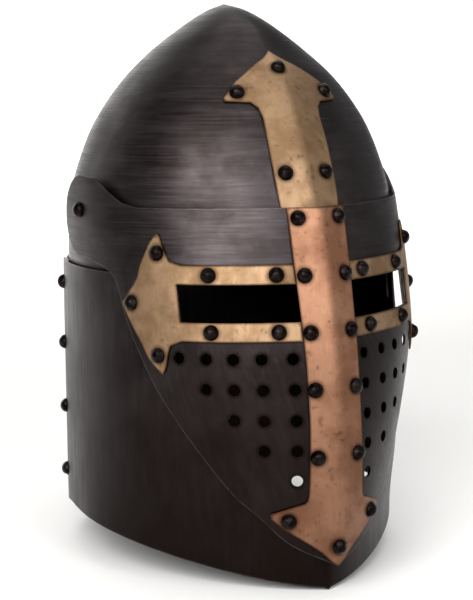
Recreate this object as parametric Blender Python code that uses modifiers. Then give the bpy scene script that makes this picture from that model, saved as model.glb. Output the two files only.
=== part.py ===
# A sugarloaf great helm with a pointed visor that lifts on two rivets at the temples.
# Units are metres, +Z is up, the face looks along -Y and +X is the wearer's left.
# The origin is at the bottom centre of the helm, on the surface it stands on.

import math
from collections import namedtuple

import bmesh
import bpy
from mathutils import Matrix, Vector
from mathutils.bvhtree import BVHTree

# Sheet metal, trim and clearances
PLATE = 0.0015            # steel of the skull and the visor
TRIM = 0.0012             # brass and copper laid over the steel
CLEARANCE = 0.0003        # air between pieces that touch
CROWN_HEIGHT = 0.363      # rim to apex

# Skull, measured outside the crown from its widest line
SKULL_HALF_WIDTH = 0.105
SKULL_FRONT_DEPTH = 0.1355
SKULL_BACK_DEPTH = 0.129
SEAM_HEIGHT = 0.195       # top edge of the two lower plates
CROWN_LAP = 0.028         # how far the crown runs down inside the lower plates
PLATE_LAP_FRONT = 0.0345  # where the back plate starts behind the widest line
PLATE_LAP = 0.021         # how far the front plate runs over the back plate
RIM_RISE = 0.032          # how high the rim lifts over the shoulders
RIM_PEAK = 0.023          # place of the highest rim point behind the widest line
RIM_FLAT = 0.116          # behind this the rim lies flat on the ground
RIM_SWEEP = 1.65          # how late the rim turns down toward the chin and the back

# Visor, measured outside its steel from the pivots
VISOR_SIDE_ROOM = 0.0035  # between the crown and the visor's sides
VISOR_FRONT_ROOM = 0.014  # between the lower plates' base surface and the visor's ridge
PIVOT_HEIGHT = 0.2325
PIVOT_SETBACK = 0.0105    # pivots and ears ahead of the widest line
BROW_RISE = 0.004         # brow edge above the pivots
VISOR_TIP = 0.018         # lowest point, at the chin
EAR_RADIUS = 0.026        # rounded ear that holds the pivot rivet
EAR_DROP = 0.004          # ear centre below the pivot
EAR_MARGIN = 0.008        # the visor's surface runs on this far behind the ear
EAR_ARC = (100, -102)     # first and last degrees of the ear's round edge
EAR_STEPS = 9

# Sight slits and their brass frames
SLIT_HEIGHT = 0.0222
SLIT_DROP = 0.0565        # middle of the slit below the brow edge
FRAME_BAR = 0.0115        # brass above and below the slit
FRAME_END_LAP = 0.0025    # brass between the slit and the root of the arrow
FRAME_SHOULDER = 0.006    # the bars start to widen this far before the arrow
FRAME_POINT_INSET = 0.0077  # side point of the arrow inside the visor's half width
FRAME_ARROW_HEIGHT = 0.084

# Breath holes, a triangle of rows on each cheek
BREATH_RADIUS = 0.0035
BREATH_ROWS = 5
BREATH_DROP = 0.0328      # top row below the middle of the slit
BREATH_STEP_DOWN = 0.0185
BREATH_FIRST = 0.0052     # first column outside the copper strip
BREATH_COLUMNS = (0.0, 0.0172, 0.0320, 0.0452, 0.0572)
BREATH_SIDES = 7
BREATH_REACH = 0.012      # cutter length, through a slanting wall

# Copper strip down the visor and brass strip up the crown
STRIP_HALF_WIDTH = 0.0193
VISOR_ARROW_WIDTH = 0.037
VISOR_ARROW_LENGTH = 0.0355
CROWN_ARROW_WIDTH = 0.039
CROWN_ARROW_LENGTH = 0.031
CROWN_ARROW_DROP = 0.033  # tip of the brass arrow below the apex
CROWN_STRIP_TUCK = 0.0075 # brass strip hidden behind the brow

# Rivets
RIVET_SHANK = 0.0022
RIVET_HEAD = 0.0048
RIVET_DOME = 0.0043
RIVET_TAIL = 0.0032
RIVET_PEEN = 0.0010
PEEN_DROP = 0.0007        # a flat tail clears the hollow side of a curved plate
RIVET_SIDES = 7
STRIP_RIVET_OUT = 0.69    # share of a strip's half width
CROWN_RIVET_RISE = 0.0195 # lowest crown rivets above the brow edge

# Mesh steps
SKULL_COLUMNS = (8, 7)    # faces round a quarter of the skull, front and back
VISOR_COLUMNS = (8, 2)
RIM_STEPS = 14
FAR = 0.4                 # longer than the helm, for cutters
WELD = 0.00001

# Horizontal sections. Height runs from 0 at the rim to 1 at the seam and 2 at the apex, the
# three lengths are shares of the named half width, front and back. Keel is the slope in degrees
# at the front ridge. Spread and pull say how far the front curve runs along its end tangents.
Section = namedtuple("Section", "height width front back keel spread pull")
SKULL_SECTIONS = (
    Section(-0.041, 1.010, 0.973, 0.980, 17, 0.41, 0.45),
    Section(0.164, 1.010, 0.973, 0.992, 17, 0.41, 0.45),
    Section(0.385, 1.005, 1.000, 1.000, 17, 0.41, 0.56),
    Section(0.667, 1.000, 0.992, 1.000, 16, 0.41, 0.63),
    Section(1.018, 0.995, 0.937, 0.982, 15, 0.43, 0.58),
    Section(1.246, 0.990, 0.886, 0.890, 14, 0.46, 0.68),
    Section(1.401, 0.929, 0.813, 0.778, 13, 0.47, 0.71),
    Section(1.551, 0.829, 0.726, 0.670, 12, 0.47, 0.71),
    Section(1.699, 0.662, 0.606, 0.567, 11, 0.48, 0.69),
    Section(1.818, 0.470, 0.438, 0.400, 8, 0.50, 0.65),
    Section(1.914, 0.262, 0.306, 0.255, 5, 0.52, 0.60),
    Section(1.972, 0.114, 0.158, 0.118, 2, 0.55, 0.55),
    Section(2.000, 0.000, 0.000, 0.000, 0, 0.55, 0.55),
)

# Visor sections: height is a share of the way from the tip up to the pivots, and back is a
# share of the skull's back
VISOR_SECTIONS = (
    Section(-0.084, 0.800, 0.954, 0.876, 15, 0.41, 0.60),
    Section(0.000, 0.818, 0.970, 0.915, 15, 0.41, 0.60),
    Section(0.142, 0.845, 0.991, 0.955, 15, 0.41, 0.61),
    Section(0.263, 0.864, 1.000, 0.987, 13, 0.47, 0.62),
    Section(0.393, 0.909, 0.999, 1.020, 15, 0.50, 0.67),
    Section(0.533, 0.962, 0.984, 1.035, 18, 0.53, 0.71),
    Section(0.627, 0.988, 0.968, 1.035, 19, 0.53, 0.72),
    Section(0.822, 0.997, 0.911, 1.035, 19, 0.52, 0.69),
    Section(1.018, 1.000, 0.844, 1.020, 17, 0.50, 0.60),
    Section(1.137, 0.980, 0.795, 1.005, 17, 0.50, 0.56),
)

# Side outlines. Ahead is a share of the visor's or the skull's front, up is a share of the way
# from the visor's tip up to the pivots.
SidePoint = namedtuple("SidePoint", "ahead up")
VISOR_BROW_CURVE = (
    SidePoint(0.423, 1.018),
    SidePoint(0.355, 1.030),
    SidePoint(0.300, 1.050),
    SidePoint(0.235, 1.077),
    SidePoint(0.180, 1.097),
)
VISOR_JAW_CURVE = (
    SidePoint(0.225, 0.847),
    SidePoint(0.300, 0.832),
    SidePoint(0.345, 0.806),
    SidePoint(0.372, 0.768),
    SidePoint(0.392, 0.730),
    SidePoint(0.425, 0.680),
    SidePoint(0.485, 0.596),
    SidePoint(0.553, 0.485),
    SidePoint(0.650, 0.354),
    SidePoint(0.760, 0.212),
    SidePoint(0.835, 0.140),
    SidePoint(0.890, 0.074),
    SidePoint(0.950, 0.025),
    SidePoint(0.972, 0.000),
)
FACE_OPENING = (
    SidePoint(1.060, -0.016),
    SidePoint(1.002, -0.016),
    SidePoint(0.973, 0.004),
    SidePoint(0.935, 0.048),
    SidePoint(0.860, 0.140),
    SidePoint(0.790, 0.238),
    SidePoint(0.655, 0.410),
    SidePoint(0.548, 0.575),
    SidePoint(0.462, 0.710),
    SidePoint(0.432, 0.840),
    SidePoint(0.455, 0.915),
    SidePoint(0.520, 0.950),
    SidePoint(1.060, 0.950),
)

# Front outline of a brass sight frame. Out is a share of the way from the strip to the side
# point, up is a share of half the arrow's height, counted from the middle of the slit.
FramePoint = namedtuple("FramePoint", "out up")
FRAME_ARROW = (
    FramePoint(0.757, 0.640),
    FramePoint(0.775, 0.760),
    FramePoint(0.785, 0.930),
    FramePoint(0.803, 0.985),
    FramePoint(0.835, 0.870),
    FramePoint(0.868, 0.700),
    FramePoint(0.900, 0.500),
    FramePoint(0.915, 0.340),
    FramePoint(0.950, 0.150),
    FramePoint(0.985, -0.040),
    FramePoint(0.955, -0.330),
    FramePoint(0.919, -0.590),
    FramePoint(0.883, -0.830),
    FramePoint(0.840, -1.020),
    FramePoint(0.820, -0.930),
    FramePoint(0.806, -0.740),
    FramePoint(0.785, -0.610),
)

# Arrow ends of the two strips. Side is a share of the arrow's half width, up runs from the
# arrow's barbs at 0 to its tip at 1.
ArrowPoint = namedtuple("ArrowPoint", "side up")
VISOR_ARROW = (
    ArrowPoint(0.640, -0.115),
    ArrowPoint(0.880, -0.020),
    ArrowPoint(1.000, 0.040),
    ArrowPoint(0.985, 0.130),
    ArrowPoint(0.800, 0.310),
    ArrowPoint(0.550, 0.500),
    ArrowPoint(0.290, 0.700),
    ArrowPoint(0.110, 0.890),
    ArrowPoint(0.000, 0.975),
)
CROWN_ARROW = (
    ArrowPoint(0.500, -0.330),
    ArrowPoint(0.530, -0.130),
    ArrowPoint(0.620, -0.020),
    ArrowPoint(0.980, 0.010),
    ArrowPoint(0.985, 0.070),
    ArrowPoint(0.740, 0.390),
    ArrowPoint(0.380, 0.690),
    ArrowPoint(0.150, 0.850),
    ArrowPoint(0.000, 1.000),
)

# Rivets. Those along the copper strip are placed by a share of the way from the visor's tip up
# to the pivots. Those of a frame use the frame's own shares, where the bars count up as 1 and -1.
# Those of an arrow use the arrow's shares.
VISOR_STRIP_RIVETS = (0.988, 0.830, 0.673, 0.515, 0.325)
VISOR_BARB_RIVET = ArrowPoint(0.750, 0.155)
VISOR_TIP_RIVET = ArrowPoint(0.0, 0.628)
FRAME_BAR_RIVETS = (
    FramePoint(0.114, 1.0),
    FramePoint(0.543, 1.0),
    FramePoint(0.138, -1.0),
    FramePoint(0.561, -1.0),
)
FRAME_ARROW_RIVETS = (
    FramePoint(0.809, 0.702),
    FramePoint(0.947, -0.036),
    FramePoint(0.843, -0.762),
)
CROWN_BARB_RIVET = ArrowPoint(0.769, 0.177)
CROWN_TIP_RIVET = ArrowPoint(0.0, 0.645)
SEAM_RIVETS = (0.922, 0.710, 0.484, 0.258)  # shares of the seam's height
BACK_RIVET_ANGLES = (16, 46)  # either side of the back's middle

# Steel and trim colours, linear
STEEL = (0.095, 0.082, 0.076)
BRASS = (0.300, 0.190, 0.090)
COPPER = (0.420, 0.230, 0.140)
RIVET_STEEL = (0.040, 0.036, 0.034)

# Lay-up of the skull outward from the crown's surface
BACK_PLATE_INNER = CLEARANCE
BACK_PLATE_OUTER = BACK_PLATE_INNER + PLATE
FRONT_PLATE_INNER = BACK_PLATE_OUTER + CLEARANCE
FRONT_PLATE_OUTER = FRONT_PLATE_INNER + PLATE
TRIM_OUTER = CLEARANCE + TRIM

# Visor, its openings and its trim, from the sizes that carry them
VISOR_HALF_WIDTH = SKULL_HALF_WIDTH + VISOR_SIDE_ROOM + PLATE
VISOR_FRONT_DEPTH = SKULL_FRONT_DEPTH + VISOR_FRONT_ROOM + PLATE
VISOR_RISE = PIVOT_HEIGHT - VISOR_TIP
VISOR_TOP = PIVOT_HEIGHT + BROW_RISE
SLIT_MIDDLE = VISOR_TOP - SLIT_DROP
FRAME_INNER = STRIP_HALF_WIDTH + CLEARANCE
FRAME_REACH = VISOR_HALF_WIDTH - FRAME_POINT_INSET - FRAME_INNER
SLIT_END = FRAME_INNER + FRAME_REACH * FRAME_ARROW[0].out - FRAME_END_LAP
VISOR_ARROW_TOP = VISOR_TIP + VISOR_ARROW_LENGTH
CROWN_ARROW_TIP = CROWN_HEIGHT - CROWN_ARROW_DROP
CROWN_ARROW_BASE = CROWN_ARROW_TIP - CROWN_ARROW_LENGTH
SEAM_RIVET_BACK = PLATE_LAP_FRONT + PLATE_LAP / 2


def half_ring(width, front, back, section, columns, back_angle):
    """Points of half a section, from the front ridge round one side."""
    columns_front, columns_back = columns
    keel = math.tan(math.radians(section.keel))
    spread = section.spread * width
    control = (
        Vector((0.0, -front)),
        Vector((spread, -front + spread * keel)),
        Vector((width, -section.pull * front)),
        Vector((width, 0.0)),
    )
    points = []
    for column in range(columns_front + 1):
        t = column / columns_front
        s = 1.0 - t
        points.append(s ** 3 * control[0] + 3 * s * s * t * control[1]
                      + 3 * s * t * t * control[2] + t ** 3 * control[3])
    for column in range(1, columns_back + 1):
        angle = back_angle * column / columns_back
        points.append(Vector((width * math.cos(angle), back * math.sin(angle))))
    return points


def loft(name, rings):
    """A half shell through rings of (point, height), open at the middle plane."""
    bm = bmesh.new()
    rows = []
    for points, height in rings:
        if points[0].length < WELD:
            tip = bm.verts.new((0.0, side_y, height))
            rows.append([tip] * len(points))
        else:
            rows.append([bm.verts.new((p.x, p.y + side_y, height)) for p in points])
    for lower, upper in zip(rows, rows[1:]):
        for index in range(len(lower) - 1):
            corners = (lower[index], lower[index + 1], upper[index + 1], upper[index])
            bm.faces.new(list(dict.fromkeys(corners)))
    bmesh.ops.triangulate(bm, faces=bm.faces, quad_method="FIXED")
    mesh = bpy.data.meshes.new(name)
    bm.to_mesh(mesh)
    bm.free()
    return mesh


def skull_mesh(name, sections):
    rings = []
    for section in sections:
        points = half_ring(
            SKULL_HALF_WIDTH * section.width, SKULL_FRONT_DEPTH * section.front,
            SKULL_BACK_DEPTH * section.back, section, SKULL_COLUMNS, math.pi / 2)
        below = SEAM_HEIGHT * min(section.height, 1.0)
        above = (CROWN_HEIGHT - SEAM_HEIGHT) * max(section.height - 1.0, 0.0)
        rings.append((points, below + above))
    return loft(name, rings)


def visor_mesh(name):
    rings = []
    for section in VISOR_SECTIONS:
        back = SKULL_BACK_DEPTH * section.back
        back_angle = math.asin((EAR_RADIUS + EAR_MARGIN) / back)
        points = half_ring(
            VISOR_HALF_WIDTH * section.width, VISOR_FRONT_DEPTH * section.front,
            back, section, VISOR_COLUMNS, back_angle)
        rings.append((points, VISOR_TIP + VISOR_RISE * section.height))
    return loft(name, rings)


def material(name, color, roughness):
    mat = bpy.data.materials.new(name)
    mat.use_nodes = True
    shader = mat.node_tree.nodes["Principled BSDF"]
    shader.inputs["Base Color"].default_value = (*color, 1.0)
    shader.inputs["Metallic"].default_value = 1.0
    shader.inputs["Roughness"].default_value = roughness
    return mat


def add_object(name, mesh, collection):
    piece = bpy.data.objects.new(name, mesh)
    collection.objects.link(piece)
    return piece


def curve_to_prism(name, outline, half_depth, matrix):
    """A closed flat outline, extruded both ways, as a cutter."""
    curve = bpy.data.curves.new(name, "CURVE")
    curve.dimensions = "2D"
    curve.fill_mode = "BOTH"
    curve.extrude = half_depth
    spline = curve.splines.new("POLY")
    spline.points.add(len(outline) - 1)
    for point, (u, v) in zip(spline.points, outline):
        point.co = (u, v, 0.0, 1.0)
    spline.use_cyclic_u = True
    drawn = add_object(name + "_outline", curve, cutters)
    drawn.matrix_world = matrix
    bpy.context.view_layer.update()
    graph = bpy.context.evaluated_depsgraph_get()
    mesh = bpy.data.meshes.new_from_object(drawn.evaluated_get(graph))
    bpy.data.objects.remove(drawn)
    mesh.transform(matrix)
    bm = bmesh.new()
    bm.from_mesh(mesh)
    bmesh.ops.remove_doubles(bm, verts=bm.verts, dist=WELD)
    bmesh.ops.recalc_face_normals(bm, faces=bm.faces)
    bm.to_mesh(mesh)
    bm.free()
    return as_cutter(add_object(name, mesh, cutters))


def as_cutter(piece):
    piece.hide_render = True
    piece.display_type = "WIRE"
    return piece


def side_prism(name, outline):
    """Outline points are (y, z); the prism runs through the helm along X."""
    matrix = Matrix(((0, 0, 1, 0), (1, 0, 0, 0), (0, 1, 0, 0), (0, 0, 0, 1)))
    return curve_to_prism(name, outline, FAR, matrix)


def front_prism(name, outline):
    """Outline points are (x, z); the prism runs from the widest line forward."""
    matrix = Matrix(((1, 0, 0, 0), (0, 0, -1, side_y - FAR / 2), (0, 1, 0, 0), (0, 0, 0, 1)))
    return curve_to_prism(name, outline, FAR / 2, matrix)


def mirror(piece):
    step = piece.modifiers.new("both sides", "MIRROR")
    step.use_axis[0] = True
    step.merge_threshold = WELD


def raise_off(piece, distance):
    step = piece.modifiers.new("stand off", "DISPLACE")
    step.strength = distance
    step.mid_level = 0.0


def wall(piece, thickness, outward):
    step = piece.modifiers.new("wall", "SOLIDIFY")
    step.thickness = thickness
    step.offset = 1.0 if outward else -1.0
    step.use_even_offset = True
    step.use_quality_normals = True


def cut(piece, cutter, operation="DIFFERENCE"):
    step = piece.modifiers.new(operation.lower(), "BOOLEAN")
    step.operation = operation
    step.solver = "EXACT"
    step.object = cutter


def side_points(points, front):
    return [(side_y - front * p.ahead, VISOR_TIP + VISOR_RISE * p.up) for p in points]


def rim_outline():
    """The lower rim from front to back, lifted over the shoulders."""
    front = -(SKULL_FRONT_DEPTH * SKULL_SECTIONS[0].front + FRONT_PLATE_OUTER)
    points = []
    for index in range(RIM_STEPS + 1):
        y = front + (RIM_FLAT - front) * index / RIM_STEPS
        reach = RIM_PEAK - front if y < RIM_PEAK else RIM_FLAT - RIM_PEAK
        share = abs(y - RIM_PEAK) / reach
        points.append((side_y + y, RIM_RISE * (1.0 - share ** RIM_SWEEP)))
    first = (side_y - FAR, points[0][1])
    return [first] + points


def visor_outline():
    ear_y = side_y - PIVOT_SETBACK
    ear_z = PIVOT_HEIGHT - EAR_DROP
    ear = []
    for index in range(EAR_STEPS + 1):
        angle = math.radians(EAR_ARC[0] + (EAR_ARC[1] - EAR_ARC[0]) * index / EAR_STEPS)
        ear.append((ear_y + EAR_RADIUS * math.cos(angle), ear_z + EAR_RADIUS * math.sin(angle)))
    brow = side_points(VISOR_BROW_CURVE, VISOR_FRONT_DEPTH)
    jaw = side_points(VISOR_JAW_CURVE, VISOR_FRONT_DEPTH)
    return ([(side_y - FAR, VISOR_TOP), (brow[0][0], VISOR_TOP)] + brow[1:] + ear + jaw
            + [(side_y - FAR, VISOR_TIP)])


def on_frame(point, half_height):
    """Front view place of a point given by the frame's shares."""
    return FRAME_INNER + FRAME_REACH * point.out, SLIT_MIDDLE + half_height * point.up


def frame_outline(side):
    half = SLIT_HEIGHT / 2
    bar = half + FRAME_BAR
    arrow = [on_frame(point, FRAME_ARROW_HEIGHT / 2) for point in FRAME_ARROW]
    points = [(FRAME_INNER, SLIT_MIDDLE + bar)]
    points.append((arrow[0][0] - FRAME_SHOULDER, SLIT_MIDDLE + bar))
    points += arrow
    points.append((arrow[-1][0] - FRAME_SHOULDER, SLIT_MIDDLE - bar))
    points += [(FRAME_INNER, SLIT_MIDDLE - bar), (FRAME_INNER, SLIT_MIDDLE - half)]
    points += [(SLIT_END, SLIT_MIDDLE - half), (SLIT_END, SLIT_MIDDLE + half)]
    points.append((FRAME_INNER, SLIT_MIDDLE + half))
    return [(side * x, z) for x, z in points]


def on_arrow(point, half_width, base, tip):
    """Front view place of a point given by an arrow's shares."""
    return half_width * point.side, base + (tip - base) * point.up


def strip_outline(arrow, half_width, base, tip, foot):
    """A straight strip from its foot to an arrow that points to the tip."""
    right = [on_arrow(point, half_width, base, tip) for point in arrow]
    start = [(STRIP_HALF_WIDTH, foot), (STRIP_HALF_WIDTH, right[0][1])]
    left = [(-x, z) for x, z in reversed(right[:-1])]
    end = [(-x, z) for x, z in reversed(start)]
    return start + right + left + end


def rivet_mesh(name, outer, inner):
    """Half the section of a rivet whose seat is at z = 0 on the base surface."""
    seat = outer + CLEARANCE
    tail = inner - PEEN_DROP
    dome = [math.radians(angle) for angle in (90, 45, 0)]
    profile = [(RIVET_HEAD * math.cos(a), seat + RIVET_DOME * math.sin(a)) for a in dome]
    profile[0] = (0.0, seat + RIVET_DOME)
    profile += [
        (RIVET_SHANK, seat),
        (RIVET_SHANK, tail),
        (RIVET_TAIL, tail),
        (0.0, tail - RIVET_PEEN),
    ]
    mesh = bpy.data.meshes.new(name)
    edges = [(index, index + 1) for index in range(len(profile) - 1)]
    mesh.from_pydata([(r, 0.0, z) for r, z in profile], edges, [])
    return mesh


def turn(piece):
    step = piece.modifiers.new("turned", "SCREW")
    step.steps = RIVET_SIDES
    step.render_steps = RIVET_SIDES
    step.use_merge_vertices = True
    step.merge_threshold = WELD


def surface_point(tree, origin, direction):
    """Where a sight line meets a half surface, with the surface's outward normal."""
    spot, normal, _, _ = tree.ray_cast(origin, direction)
    if normal.dot(direction) > 0.0:
        normal = -normal
    return spot, normal


def seat_matrix(spot, normal, side):
    if side == 0:
        spot = Vector((0.0, spot.y, spot.z))
        normal = Vector((0.0, normal.y, normal.z)).normalized()
    if side < 0:
        spot = Vector((-spot.x, spot.y, spot.z))
        normal = Vector((-normal.x, normal.y, normal.z))
    return Matrix.Translation(spot) @ normal.to_track_quat("Z", "Y").to_matrix().to_4x4()


def add_rivet(name, mesh, matrix, holes, span):
    """Place a rivet and note the hole that it needs through the plates."""
    piece = add_object(name, mesh, helm)
    piece.matrix_world = matrix
    piece.data.materials.clear()
    piece.data.materials.append(rivet_steel)
    turn(piece)
    top, bottom = span
    reach = top - bottom + 2 * PLATE
    middle = Matrix.Translation((0.0, 0.0, (top + bottom) / 2))
    holes.append((matrix @ middle, reach))
    return piece


def hole_cutter(name, holes, radius, sides):
    """One cutter with a rod for every hole."""
    bm = bmesh.new()
    for matrix, reach in holes:
        bmesh.ops.create_cone(bm, cap_ends=True, segments=sides, radius1=radius,
                              radius2=radius, depth=reach, matrix=matrix)
    mesh = bpy.data.meshes.new(name)
    bm.to_mesh(mesh)
    bm.free()
    return as_cutter(add_object(name, mesh, cutters))


def half_tree(mesh):
    bm = bmesh.new()
    bm.from_mesh(mesh)
    tree = BVHTree.FromBMesh(bm)
    bm.free()
    return tree


def from_front(tree, out, height):
    origin = Vector((max(out, WELD), side_y - FAR, height))
    return surface_point(tree, origin, Vector((0.0, 1.0, 0.0)))


def from_side(tree, back, height):
    origin = Vector((FAR, side_y + back, height))
    return surface_point(tree, origin, Vector((-1.0, 0.0, 0.0)))


def side_name(side):
    return "left" if side > 0 else "right"


for old in list(bpy.data.objects):
    bpy.data.objects.remove(old)

helm = bpy.data.collections.new("sugarloaf_helm")
cutters = bpy.data.collections.new("cutters")
bpy.context.scene.collection.children.link(helm)
bpy.context.scene.collection.children.link(cutters)

# The widest line stands where the whole helm is centred front to back
front_reach = max(VISOR_FRONT_DEPTH * row.front for row in VISOR_SECTIONS) + TRIM_OUTER
back_reach = max(SKULL_BACK_DEPTH * row.back for row in SKULL_SECTIONS) + BACK_PLATE_OUTER
side_y = (front_reach - back_reach) / 2

steel = material("blackened steel", STEEL, 0.42)
brass = material("brass", BRASS, 0.40)
copper = material("copper", COPPER, 0.38)
rivet_steel = material("rivet steel", RIVET_STEEL, 0.35)

# Base surfaces that the plates and the trim are raised from
plate_sections = SKULL_SECTIONS[:6]
crown_sections = SKULL_SECTIONS[3:]
lower_surface = skull_mesh("lower plates", plate_sections)
crown_surface = skull_mesh("crown", crown_sections)
visor_surface = visor_mesh("visor")
lower_tree = half_tree(lower_surface)
crown_tree = half_tree(crown_surface)
visor_tree = half_tree(visor_surface)

# Outlines of the plates, seen from the side
lap_end = side_y + PLATE_LAP_FRONT + PLATE_LAP
lap_start = side_y + PLATE_LAP_FRONT
rim = rim_outline()
rim_front = [p for p in rim if p[0] < lap_end - PLATE]
rim_back = [p for p in rim if p[0] > lap_start + PLATE]


def rim_height(y):
    for (y0, z0), (y1, z1) in zip(rim, rim[1:]):
        if y0 <= y <= y1:
            return z0 + (z1 - z0) * (y - y0) / (y1 - y0)
    return 0.0


front_outline = rim_front + [(lap_end, rim_height(lap_end)), (lap_end, SEAM_HEIGHT),
                             (side_y - FAR, SEAM_HEIGHT)]
back_outline = [(lap_start, rim_height(lap_start))] + rim_back + [
    (side_y + FAR, 0.0), (side_y + FAR, SEAM_HEIGHT), (lap_start, SEAM_HEIGHT)]
crown_foot = SEAM_HEIGHT - CROWN_LAP
crown_outline = [(side_y - FAR, crown_foot), (side_y + FAR, crown_foot),
                 (side_y + FAR, CROWN_HEIGHT + FAR), (side_y - FAR, CROWN_HEIGHT + FAR)]
face_opening = side_prism("face_opening", side_points(FACE_OPENING, SKULL_FRONT_DEPTH))

# Rivet meshes, one for each stack of plates
# Under a ridge the plate's two slopes come down beside the shank, so the tail sits lower
keel_drop = RIVET_TAIL * math.tan(math.radians(max(row.keel for row in SKULL_SECTIONS)))
ridge_inner = -(PLATE + keel_drop)
trim_rivet = rivet_mesh("trim rivet", TRIM_OUTER, -PLATE)
ridge_rivet = rivet_mesh("ridge rivet", TRIM_OUTER, ridge_inner)
lap_rivet = rivet_mesh("lap rivet", FRONT_PLATE_OUTER, BACK_PLATE_INNER)
corner_rivet = rivet_mesh("corner rivet", FRONT_PLATE_OUTER, -PLATE)
back_rivet = rivet_mesh("back rivet", BACK_PLATE_OUTER, -PLATE)
visor_holes = []
crown_holes = []
plate_holes = []
pivot_holes = []

# Visor rivets: both sides of the copper strip, its arrow, and the brass frames
visor_arrow = (VISOR_ARROW_WIDTH, VISOR_ARROW_TOP, VISOR_TIP)
strip_rivet_out = STRIP_RIVET_OUT * STRIP_HALF_WIDTH
strip_spots = [(strip_rivet_out, VISOR_TIP + VISOR_RISE * up) for up in VISOR_STRIP_RIVETS]
strip_spots.append(on_arrow(VISOR_BARB_RIVET, *visor_arrow))
bar_middle = (SLIT_HEIGHT + FRAME_BAR) / 2
frame_spots = [on_frame(point, bar_middle) for point in FRAME_BAR_RIVETS]
frame_spots += [on_frame(point, FRAME_ARROW_HEIGHT / 2) for point in FRAME_ARROW_RIVETS]
for side in (1, -1):
    for kind, spots in (("strip_rivet", strip_spots), ("frame_rivet", frame_spots)):
        for number, spot in enumerate(spots, 1):
            matrix = seat_matrix(*from_front(visor_tree, *spot), side)
            add_rivet(f"{kind}_{side_name(side)}_{number}", trim_rivet, matrix, visor_holes,
                      (TRIM_OUTER, -PLATE))
matrix = seat_matrix(*from_front(visor_tree, *on_arrow(VISOR_TIP_RIVET, *visor_arrow)), 0)
add_rivet("strip_rivet_tip", ridge_rivet, matrix, visor_holes, (TRIM_OUTER, ridge_inner))

# Crown strip rivets
crown_arrow = (CROWN_ARROW_WIDTH, CROWN_ARROW_BASE, CROWN_ARROW_TIP)
crown_spots = [(strip_rivet_out, VISOR_TOP + CROWN_RIVET_RISE),
               on_arrow(CROWN_BARB_RIVET, *crown_arrow)]
for side in (1, -1):
    for number, spot in enumerate(crown_spots, 1):
        matrix = seat_matrix(*from_front(crown_tree, *spot), side)
        add_rivet(f"crown_rivet_{side_name(side)}_{number}", trim_rivet, matrix, crown_holes,
                  (TRIM_OUTER, -PLATE))
matrix = seat_matrix(*from_front(crown_tree, *on_arrow(CROWN_TIP_RIVET, *crown_arrow)), 0)
add_rivet("crown_rivet_tip", ridge_rivet, matrix, crown_holes, (TRIM_OUTER, ridge_inner))

# Seam rivets: the top one of each side also holds the crown
for side in (1, -1):
    for number, share in enumerate(SEAM_RIVETS, 1):
        matrix = seat_matrix(*from_side(lower_tree, SEAM_RIVET_BACK, SEAM_HEIGHT * share), side)
        mesh = corner_rivet if number == 1 else lap_rivet
        bottom = -PLATE if number == 1 else BACK_PLATE_INNER
        add_rivet(f"seam_rivet_{side_name(side)}_{number}", mesh, matrix, plate_holes,
                  (FRONT_PLATE_OUTER, bottom))

# Back rivets hold the crown to the back plate
for side in (1, -1):
    for number, degrees in enumerate(BACK_RIVET_ANGLES, 1):
        angle = math.radians(degrees)
        outward = Vector((math.sin(angle), math.cos(angle), 0.0))
        centre = Vector((0.0, side_y, SEAM_HEIGHT - CROWN_LAP / 2))
        spot, normal = surface_point(lower_tree, centre + outward * FAR, -outward)
        add_rivet(f"back_rivet_{side_name(side)}_{number}", back_rivet,
                  seat_matrix(spot, normal, side), plate_holes, (BACK_PLATE_OUTER, -PLATE))

# Pivot rivets run along the hinge axis through the visor's ears and the crown. The ears lean
# a little there, so the heads stand off by that lean.
visor_side, visor_normal = from_side(visor_tree, -PIVOT_SETBACK, PIVOT_HEIGHT)
crown_side, _ = from_side(crown_tree, -PIVOT_SETBACK, PIVOT_HEIGHT)
hinge_axis = Vector((1.0, 0.0, 0.0))
pivot_seat = RIVET_HEAD * math.tan(visor_normal.angle(hinge_axis))
pivot_inner = crown_side.x - PLATE - visor_side.x
pivot_mesh = rivet_mesh("pivot rivet", pivot_seat, pivot_inner)
for side in (1, -1):
    matrix = seat_matrix(visor_side, hinge_axis, side)
    add_rivet(f"pivot_rivet_{side_name(side)}", pivot_mesh, matrix, pivot_holes,
              (pivot_seat, pivot_inner))

hole_radius = RIVET_SHANK + CLEARANCE
visor_hole_cutter = hole_cutter("visor_rivet_holes", visor_holes, hole_radius, RIVET_SIDES)
crown_hole_cutter = hole_cutter("crown_rivet_holes", crown_holes, hole_radius, RIVET_SIDES)
plate_hole_cutter = hole_cutter("plate_rivet_holes", plate_holes, hole_radius, RIVET_SIDES)
pivot_hole_cutter = hole_cutter("pivot_holes", pivot_holes, hole_radius, RIVET_SIDES)

# Skull plates
crown = add_object("crown", crown_surface, helm)
mirror(crown)
wall(crown, PLATE, False)
cut(crown, side_prism("crown_outline", crown_outline), "INTERSECT")
cut(crown, face_opening)
cut(crown, crown_hole_cutter)
cut(crown, plate_hole_cutter)
cut(crown, pivot_hole_cutter)
crown.data.materials.append(steel)

front_plate = add_object("front_plate", lower_surface.copy(), helm)
mirror(front_plate)
raise_off(front_plate, FRONT_PLATE_INNER)
wall(front_plate, PLATE, True)
cut(front_plate, side_prism("front_outline", front_outline), "INTERSECT")
cut(front_plate, face_opening)
cut(front_plate, plate_hole_cutter)
front_plate.data.materials.append(steel)

back_plate = add_object("back_plate", lower_surface, helm)
mirror(back_plate)
raise_off(back_plate, BACK_PLATE_INNER)
wall(back_plate, PLATE, True)
cut(back_plate, side_prism("back_outline", back_outline), "INTERSECT")
cut(back_plate, plate_hole_cutter)
back_plate.data.materials.append(steel)

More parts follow.
